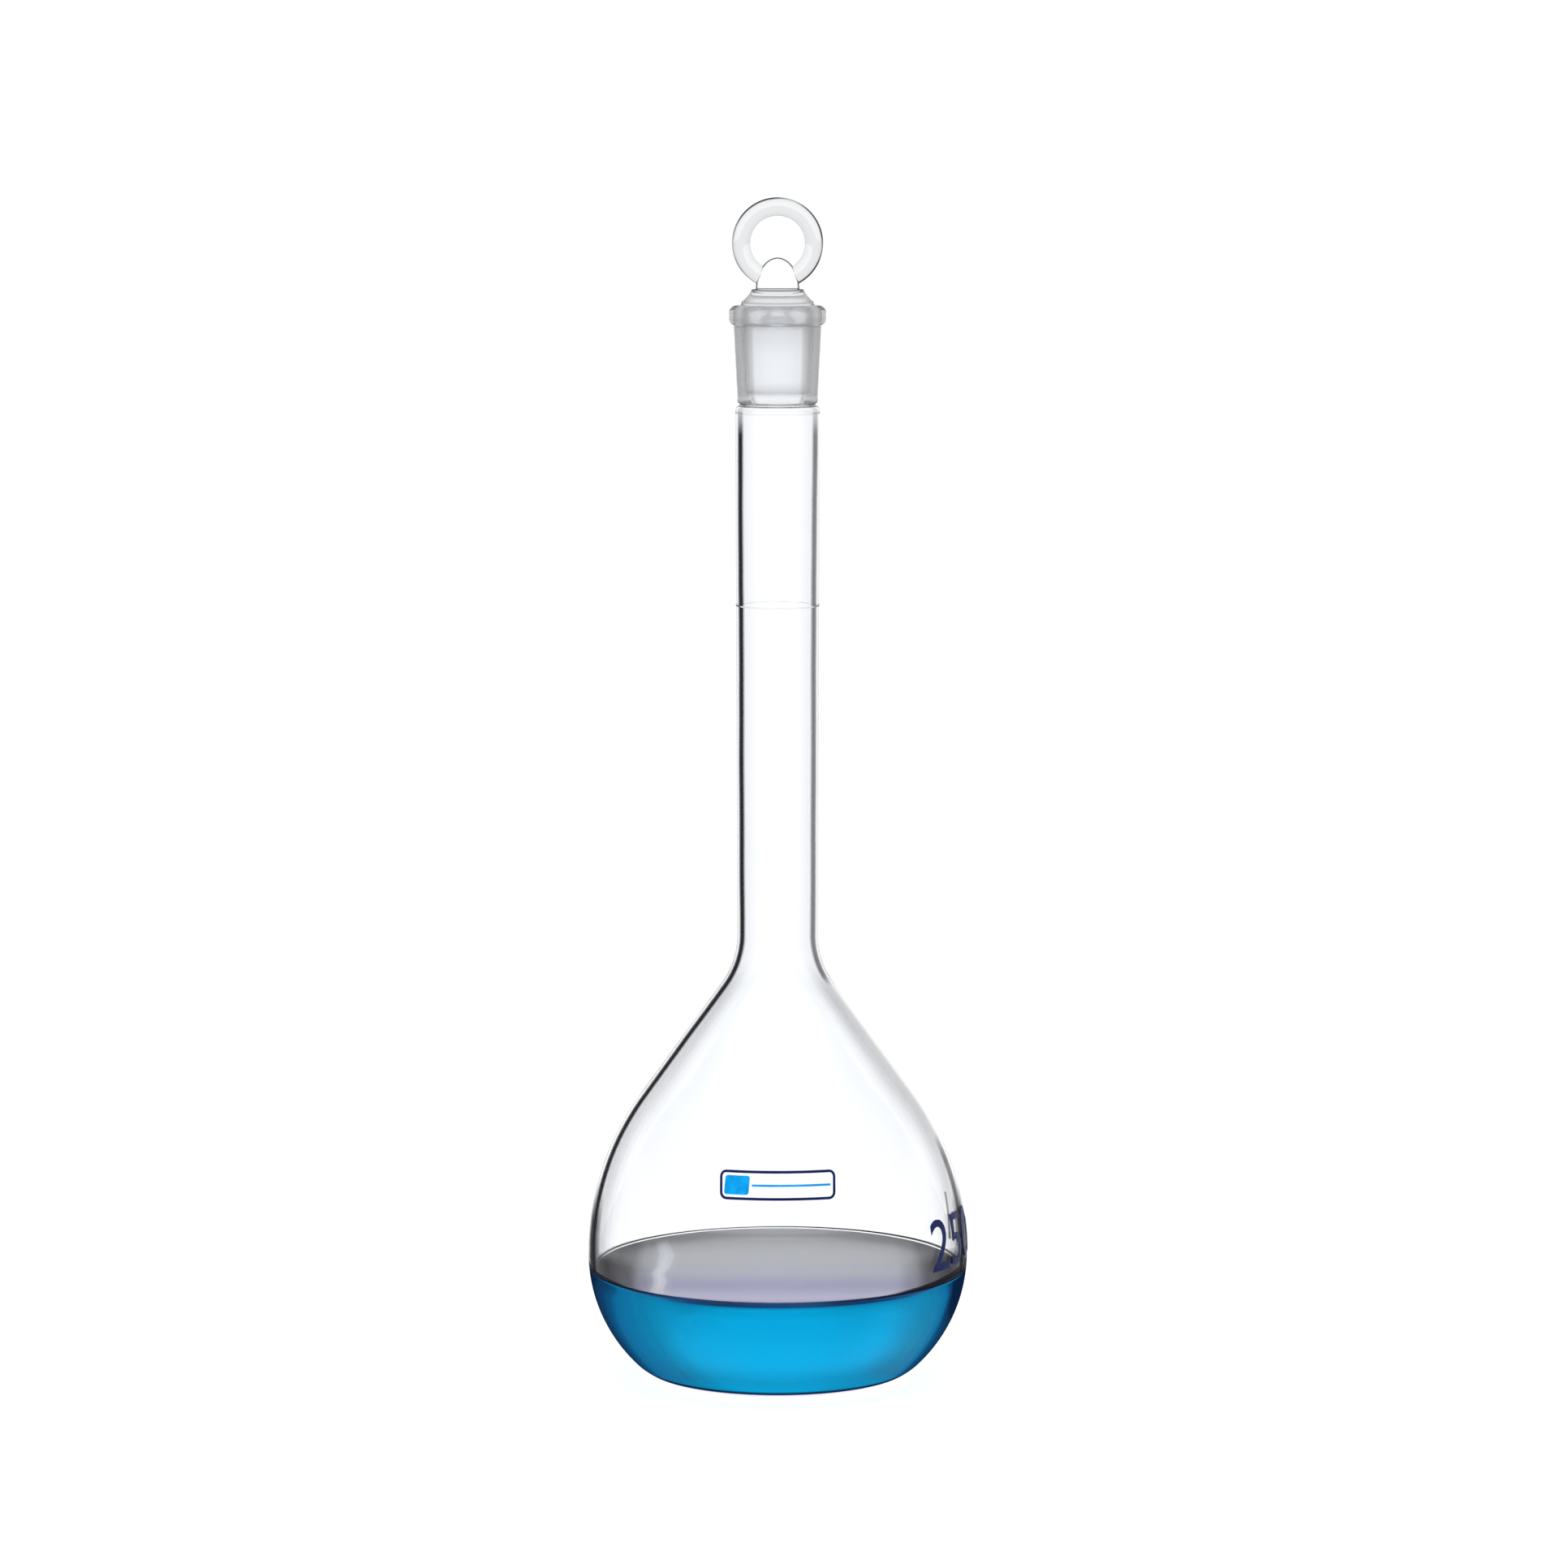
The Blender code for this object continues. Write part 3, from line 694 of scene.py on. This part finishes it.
def ground_glass():
    """Glass ground to a fine, even mat, greyer towards the rim and in a thin band near its lower end, with
    grey shade painted along its edges.
    """
    material, tree, shader = glass("ground_glass", 0.9, 0.4, SOCKET_IOR)
    height = calc(tree, "ADD", height_share(tree, GROUND_BOTTOM, RIM), wander(tree, 2500, 0.04, 2.0))
    steps = ((0.0, 0.9), (0.05, 0.7), (0.1, 0.9), (0.16, 0.99), (0.4, 0.98), (0.7, 0.91), (1.0, 0.84))
    tones = [(position, cool(value)) for position, value in steps]
    tree.links.new(ramp(tree, height, tones), shader.inputs["Base Color"])
    rough = ramp(tree, noise(tree, 1800, 3.0), levels((0.3, 0.38), (0.7, 0.44)))
    tree.links.new(rough, shader.inputs["Roughness"])
    # Painted shade along the edges.
    edge = levels((0.5, 0.0), (0.68, 0.15), (0.85, 0.35), (1.0, 0.3))
    cover(tree, shader, ramp(tree, facing(tree), edge))
    return material


def turned_away(tree):
    """0 where the belly is seen square on and 1 at its sides.

    The part that faces down counts as less, for painted light from the bench, and so does the right side,
    for painted light from the right.
    """
    seen = calc(tree, "SUBTRACT", 1.0, facing(tree))
    seen = calc(tree, "ADD", seen, product(tree, attribute(tree, "face_down"), 0.08))
    turn = calc(tree, "SUBTRACT", 1.0, calc(tree, "DIVIDE", seen, attribute(tree, "upright")))
    # Painted light: the right side is turned a little less, so its tone comes out lighter.
    lit = ramp(tree, turn, levels((0.0, 0.0), (0.2, 0.13), (0.55, 0.16), (0.68, 0.0)))
    return calc(tree, "SUBTRACT", turn, product(tree, lit, attribute(tree, "right_side_painted_shading")))


def liquid_side():
    """The blue solution through the wall, with shade painted into its colour: bright where it is seen
    square on, and deep towards its edges.
    """
    material, tree, shader = glass("blue_solution", ior=LIQUID_IOR, shine=0.04)
    # The tones deepen towards the edges, partly as the liquid's own depth of colour and partly as painted
    # shade.
    tones = [
        (0.0, (0.003, 0.58, 1.00)),
        (0.12, (0.003, 0.50, 0.88)),
        (0.19, (0.003, 0.42, 0.74)),
        (0.27, (0.003, 0.32, 0.58)),
        (0.38, (0.004, 0.26, 0.52)),
        (0.45, (0.005, 0.22, 0.46)),
        (0.52, (0.005, 0.13, 0.31)),
        (0.6, (0.008, 0.09, 0.22)),
    ]
    # Painted shade that deepens the tone towards the top of the liquid.
    rise = levels((0.5, 0.0), (0.8, 0.07), (0.91, 0.14), (0.955, 0.28), (1.0, 0.45))
    painted_top_shade = ramp(tree, height_share(tree, LIQUID_LOW.z, LEVEL), rise)
    turn = calc(tree, "ADD", turned_away(tree), painted_top_shade)
    tint = ramp(tree, turn, tones)
    tree.links.new(tint, shader.inputs["Base Color"])
    # A matt cover in the same tint paints the deep edges, most towards the sides.
    share = ramp(tree, turn, levels((0.0, 0.12), (0.15, 0.25), (0.4, 0.85), (0.6, 0.95)))
    cover(tree, shader, share, tint)
    absorb = node(tree, "ShaderNodeVolumeAbsorption")
    absorb.inputs["Color"].default_value = (0.02, 0.80, 0.95, 1)
    absorb.inputs["Density"].default_value = 6
    tree.links.new(absorb.outputs["Volume"], tree.nodes["Material Output"].inputs["Volume"])
    return material


def across_bulb(tree, axis):
    """The place along an axis: 0 at one side of the bulb and 1 at the other."""
    widths = calc(tree, "DIVIDE", along(tree, object_place(tree), axis), 2 * BULB_RADIUS)
    return calc(tree, "ADD", widths, 0.5)


def painted_streak(tree):
    """A painted highlight: the bright, wavy line that the wall throws across the surface on the left."""
    across = calc(tree, "ADD", across_bulb(tree, "X"), STREAK_OFFSET)
    across = calc(tree, "ADD", across, wander(tree, 45, 0.07))
    off = calc(tree, "ABSOLUTE", calc(tree, "MULTIPLY", across, STREAK_FINENESS))
    return ramp(tree, off, levels((0.0, 0.9), (0.3, 0.7), (0.6, 0.12), (1.0, 0.0)))


def liquid_top():
    """The still surface, which itself mirrors only faintly: blue from above, and at a low angle a painted
    pale reflection with painted dark ends.
    """
    material, tree, shader = new_material("solution_surface")
    # A painted reflection, which changes from the front of the surface to the back.
    painted_reflection = [
        (0.04, (0.38, 0.35, 0.58)),
        (0.14, (0.47, 0.43, 0.68)),
        (0.30, (0.25, 0.24, 0.45)),
        (0.48, (0.36, 0.36, 0.435)),
        (0.68, (0.385, 0.39, 0.42)),
        (0.86, (0.35, 0.355, 0.36)),
        (0.92, (0.43, 0.435, 0.44)),
        (0.96, (0.64, 0.645, 0.65)),
        (1.0, (0.92, 0.925, 0.93)),
    ]
    low_angle = ramp(tree, facing(tree), levels((0.2, 0.0), (0.35, 0.6), (0.5, 1.0)))
    radius = radius_share(tree, BULB_RADIUS - WALL)
    # Seen from above, a pale glint is painted round the rim.
    above = ramp(tree, radius, [(0.90, (0.004, 0.22, 0.50)), (0.97, (0.36, 0.40, 0.46))])
    tint = blend_colours(tree, low_angle, above, ramp(tree, across_bulb(tree, "Y"), painted_reflection))
    # A painted highlight along the bright line, shown only at a low angle.
    bright = product(tree, painted_streak(tree), ramp(tree, facing(tree), levels((0.6, 0.0), (0.8, 1.0))))
    tint = blend_colours(tree, bright, tint, (0.72, 0.72, 0.78))
    tree.links.new(tint, shader.inputs["Base Color"])
    shader.inputs["Roughness"].default_value = 0.04
    shader.inputs["Specular IOR Level"].default_value = 0.1
    ripple(tree, shader, 35, 0.05)
    # Painted shade at the surface's left and right ends, at a low angle.
    side = calc(tree, "ABSOLUTE", calc(tree, "SUBTRACT", across_bulb(tree, "X"), 0.5))
    ends = levels((0.31, 0.0), (0.35, 0.15), (0.395, 0.57), (0.43, 0.75), (0.47, 0.93))
    cover(tree, shader, product(tree, ramp(tree, side, ends), low_angle))
    return material


def liquid_edge():
    """The thin line of liquid that climbs the wall, which is seen edge on: painted almost black, its own
    blue darkened by painted shade.
    """
    material, tree, shader = new_material("solution_edge")
    tones = [(0.35, (0.007, 0.055, 0.19)), (0.7, (0.012, 0.115, 0.34))]
    tree.links.new(ramp(tree, noise(tree, 60), tones), shader.inputs["Base Color"])
    shader.inputs["Roughness"].default_value = 0.2
    shader.inputs["Specular IOR Level"].default_value = 0.1
    return material


def enamel(name, colour):
    """Fired enamel: slightly uneven in colour and sheen, with a fine orange peel."""
    material, tree, shader = new_material(name)
    low, high = (tuple(part * scale for part in colour) for scale in (0.8, 1.15))
    tint = ramp(tree, noise(tree, 400, 3.0), [(0.35, low), (0.65, high)])
    tree.links.new(tint, shader.inputs["Base Color"])
    rough = ramp(tree, noise(tree, 900, 2.0), levels((0.3, 0.3), (0.7, 0.5)))
    tree.links.new(rough, shader.inputs["Roughness"])
    shader.inputs["Specular IOR Level"].default_value = 0.04
    ripple(tree, shader, 1500, 0.2, 0.00005)
    return material


def etched_white():
    """The graduation line: etched into the glass and filled thinly, so that the wall shows through it."""
    material, tree, shader = glass("white_enamel", 0.92, 0.2, ENAMEL_IOR)
    tones = [(0.35, cool(0.86)), (0.65, cool(0.97))]
    tree.links.new(ramp(tree, noise(tree, 500, 2.0), tones), shader.inputs["Base Color"])
    return material


# The pieces --------------------------------------------------------------------------------------
def make_flask():
    """The flask's glass, turned from the foot up over the mouth and down the inside."""
    outer, inner, ground, wet_outer, wet_inner, socket = range(6)
    outside, wet_outside = split_at(outer_outline(), LEVEL)
    inside, wet_inside = split_at(inner_outline(), LEVEL)
    groove = next(i for i, point in enumerate(outside) if point[1] < NECK_TOP + GROOVE_LIP)
    ground_end = 2 + GROUND_ROWS
    spans = [
        (wet_outside[::-1], wet_outer),
        (outside[:groove - 1:-1], outer),
        (outside[groove - 1::-1], socket),
        (inside[:1], socket),
        (inside[1:ground_end], ground),
        (inside[ground_end:], inner),
        (wet_inside[1:], wet_inner),
    ]
    obj = lathe("flask_glass", spans)
    materials = {
        outer: outer_glass(),
        inner: inner_glass(),
        ground: ground_glass(),
        wet_outer: wetted_glass(),
        wet_inner: inner_glass("glass_wetted_inside", WETTED_IOR),
        socket: socket_glass(),
    }
    for slot in sorted(materials):
        obj.data.materials.append(materials[slot])
    mark_outline(obj.data, WALL)
    mark_tilt(obj.data)
    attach(obj, "flask")
    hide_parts("bulb", "neck_tube", "ground_socket")


def make_liquid():
    """The solution, from the middle of its surface over the meniscus and down the wall."""
    still = LEVEL - MENISCUS
    side = belly_outline(WALL - LIQUID_OVERLAP, still)
    wall = side[0][0]
    reach = 4 * CAPILLARY_LENGTH
    surface = [(0, still)] + line((STILL_RADIUS, still), (wall - reach, still), 10)
    for i in range(25):
        back = reach * (1 - i / 24) ** 1.5
        climb = MENISCUS * exp(-back / CAPILLARY_LENGTH)
        surface.append((wall - LIQUID_OVERLAP - back, still + climb))
    edge = line(surface[-1], side[0], 4)[1:] + side[:1]
    obj = lathe("blue_solution", [(surface, 1), (edge, 2), (side[1:], 0)])
    for material in (liquid_side(), liquid_top(), liquid_edge()):
        obj.data.materials.append(material)
    mark_tilt(obj.data)
    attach(obj, "flask")
    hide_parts("solution")


def make_ring():
    bpy.ops.mesh.primitive_torus_add(
        major_segments=160,
        minor_segments=40,
        major_radius=RING_MIDDLE,
        minor_radius=RING_ROD,
        location=(0, 0, RING_HEIGHT),
        rotation=(pi / 2, 0, 0),
    )
    ring = bpy.context.object
    ring.data.shade_smooth()
    return ring


def mark_ring(mesh):
    """Stores how far each point of the ring faces away from the ring's centre, and 0 off the ring."""
    values = []
    for vertex in mesh.vertices:
        spoke = Vector((vertex.co.x, 0, vertex.co.z - RING_HEIGHT))
        off = sqrt((spoke.length - RING_MIDDLE) ** 2 + vertex.co.y**2) - RING_ROD
        away = vertex.normal.dot(spoke.normalized())
        values.append(smooth(away, 0, 0.5) if abs(off) < ON_RING else 0.0)
    store(mesh, "ring_outward", values)


def make_stopper():
    """The plug, with its head, and the ring melted onto it as one piece of glass."""
    clear, ground, bent = range(3)
    head, cone, hollow = plug_outline()
    plug = lathe("stopper_glass", [(head, clear), (cone, ground), (hollow, clear)], STOPPER_AROUND)
    ring = make_ring()
    for material in (stopper_clear(), ground_glass(), ring_glass()):
        plug.data.materials.append(material)
        ring.data.materials.append(material)
    for polygon in ring.data.polygons:
        polygon.material_index = bent
    join = plug.modifiers.new("melt", "BOOLEAN")
    join.operation = "UNION"
    join.object = ring
    bpy.context.view_layer.update()
    evaluated = plug.evaluated_get(bpy.context.evaluated_depsgraph_get())
    melted = bpy.data.meshes.new_from_object(evaluated)
    plug.modifiers.clear()
    plug.data = melted
    bpy.data.objects.remove(ring)
    mark_ring(plug.data)
    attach(plug, "stopper")
    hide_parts("stopper_plug", "ring_handle")


def make_graduation():
    """The graduation line as a fine, round thread of enamel where the frame has it."""
    low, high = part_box("graduation_line")
    middle = (low.z + high.z) / 2
    radius = neck_radius(middle)
    ring = arc((radius, middle), GRADUATION_HALF, -pi / 2, 3 * pi / 2, 12)[:-1]
    flattened = [(radius + (r - radius) / 3, z) for r, z in ring]
    obj = lathe("graduation_thread", [(flattened, 0)], loop=True)
    obj.data.materials.append(etched_white())
    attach(obj, "flask")
    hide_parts("graduation_line")


def paint_marks():
    """The fired marks keep their CAD shapes and get their enamel."""
    blue = enamel("blue_enamel", (0.006, 0.014, 0.08))
    sky = enamel("sky_blue_enamel", (0.004, 0.33, 0.80))
    for name, obj in NODES.items():
        if name.startswith("capacity_mark") or name == "marking_frame":
            paint = blue
        elif name in ("marking_tab", "marking_line"):
            paint = sky
        else:
            continue
        obj.data.materials.clear()
        obj.data.materials.append(paint)


def make_floor():
    """A pale floor that gives off most of its light itself, so that hardly a shadow shows on it."""
    bpy.ops.mesh.primitive_circle_add(
        vertices=96,
        radius=FLOOR_RADIUS,
        fill_type="NGON",
        location=(0, 0, -FLOOR_DROP),
    )
    floor = bpy.context.object
    floor.name = "floor"
    material, _, shader = new_material("pale_floor")
    shader.inputs["Base Color"].default_value = (0.2, 0.2, 0.2, 1)
    shader.inputs["Roughness"].default_value = 0.7
    shader.inputs["Specular IOR Level"].default_value = 0.0
    shader.inputs["Emission Color"].default_value = (1, 1, 1, 1)
    shader.inputs["Emission Strength"].default_value = 0.88
    floor.data.materials.append(material)


def make_world():
    """Even light from all round, a darker belt above the horizon and the brightest light overhead."""
    world = bpy.data.worlds.new("studio")
    bpy.context.scene.world = world
    world.use_nodes = True
    tree = world.node_tree
    background = tree.nodes["Background"]
    direction = node(tree, "ShaderNodeTexCoord").outputs["Generated"]
    lift = node(tree, "ShaderNodeMapRange")
    lift.inputs["From Min"].default_value = -1
    tree.links.new(along(tree, direction, "Z"), lift.inputs["Value"])
    sky = levels((0.0, 0.5), (0.62, 0.5), (0.70, 0.25), (0.82, 0.3), (0.9, 1.0))
    tree.links.new(ramp(tree, lift.outputs["Result"], sky), background.inputs["Color"])
    background.inputs["Strength"].default_value = 2.05


def make_camera():
    data = bpy.data.cameras.new("camera")
    data.sensor_width = 36
    data.lens = CAMERA_LENS
    camera = bpy.data.objects.new("camera", data)
    bpy.context.scene.collection.objects.link(camera)
    camera.location = CAMERA_PLACE
    camera.rotation_mode = "QUATERNION"
    camera.rotation_quaternion = (CAMERA_AIM - camera.location).to_track_quat("-Z", "Y")
    bpy.context.scene.camera = camera


make_camera()
make_world()
make_floor()
bpy.context.scene.view_settings.view_transform = "Standard"
bpy.context.scene.cycles.max_bounces = MAX_BOUNCES
bpy.context.scene.cycles.transmission_bounces = MAX_BOUNCES
bpy.context.scene.cycles.glossy_bounces = GLOSSY_BOUNCES
make_flask()
make_liquid()
make_stopper()
make_graduation()
paint_marks()
